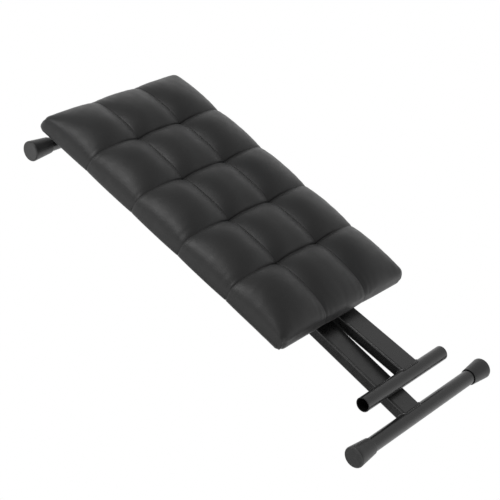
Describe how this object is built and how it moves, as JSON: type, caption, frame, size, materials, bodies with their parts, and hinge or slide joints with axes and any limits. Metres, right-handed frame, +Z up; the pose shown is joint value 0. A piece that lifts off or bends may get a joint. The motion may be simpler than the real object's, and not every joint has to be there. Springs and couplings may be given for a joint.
{
  "type": "folding bench",
  "caption": "Folding X bench drawn folded flat: a tufted rectangular padded seat hinged to crossed tube legs with rubber-capped foot bars and a crossbar that locks in notches under the seat.",
  "frame": {"origin": "on the floor straight below the pivot bolt, which is also the middle of the folded bench's footprint", "axes": "+X along the folded bench towards the crossbar end, +Y across it towards the far leg, +Z up from the floor to the cushion"},
  "size_m": [0.716, 0.322, 0.101],
  "materials": {
    "leatherette": "satin black synthetic leather with fine grain",
    "foam": "open-cell foam",
    "plywood": "unfinished plywood",
    "lining": "matt non-woven",
    "twine": "waxed twine",
    "powder_coat": "satin black powder coat",
    "zinc": "zinc plated",
    "nylon": "natural nylon",
    "rubber": "matt black rubber"
  },
  "bodies": {
    "seat": {"seat_cover": "leatherette", "seat_foam": "foam", "seat_board": "plywood", "bottom_lining": "lining", "tuft_twines": "twine", "tuft_anchors": "nylon", "hinge_bracket_front": "powder_coat", "hinge_bracket_rear": "powder_coat", "notch_bracket_front": "powder_coat", "notch_bracket_rear": "powder_coat", "bracket_screws": "zinc", "tee_nuts": "zinc", "seat_bumpers": "rubber", "bumper_screws": "zinc", "hinge_bolt": "zinc", "hinge_nut": "zinc", "hinge_washers": "zinc"},
    "leg_a": {"leg_a_tube": "powder_coat", "foot_bar_a": "powder_coat", "foot_cap_a_front": "rubber", "foot_cap_a_rear": "rubber", "hinge_tube": "powder_coat", "hinge_bush_front": "nylon", "hinge_bush_rear": "nylon", "pivot_sleeve_a": "zinc", "pivot_bolt": "zinc", "pivot_nut": "zinc", "pivot_washers": "zinc", "pivot_spacer": "nylon"},
    "leg_b": {"leg_b_tube": "powder_coat", "foot_bar_b": "powder_coat", "foot_cap_b_front": "rubber", "foot_cap_b_rear": "rubber", "crossbar": "powder_coat", "pivot_sleeve_b": "zinc", "pivot_bush_b": "nylon"}
  },
  "joints": [
    {"name": "seat_hinge", "type": "hinge", "parent": "seat", "child": "leg_a", "pos_m": [-0.295, 0, 0.0388], "axis": [0, 1, 0], "range_deg": [0, 46.5]},
    {"name": "leg_fold", "type": "hinge", "parent": "leg_a", "child": "leg_b", "pos_m": [0, 0, 0.02824], "axis": [0, -1, 0], "range_deg": [0, 91.5]}
  ],
  "couplings": [
    {"joint": "seat_hinge", "follows": "leg_fold", "ratio": 0.508}
  ]
}
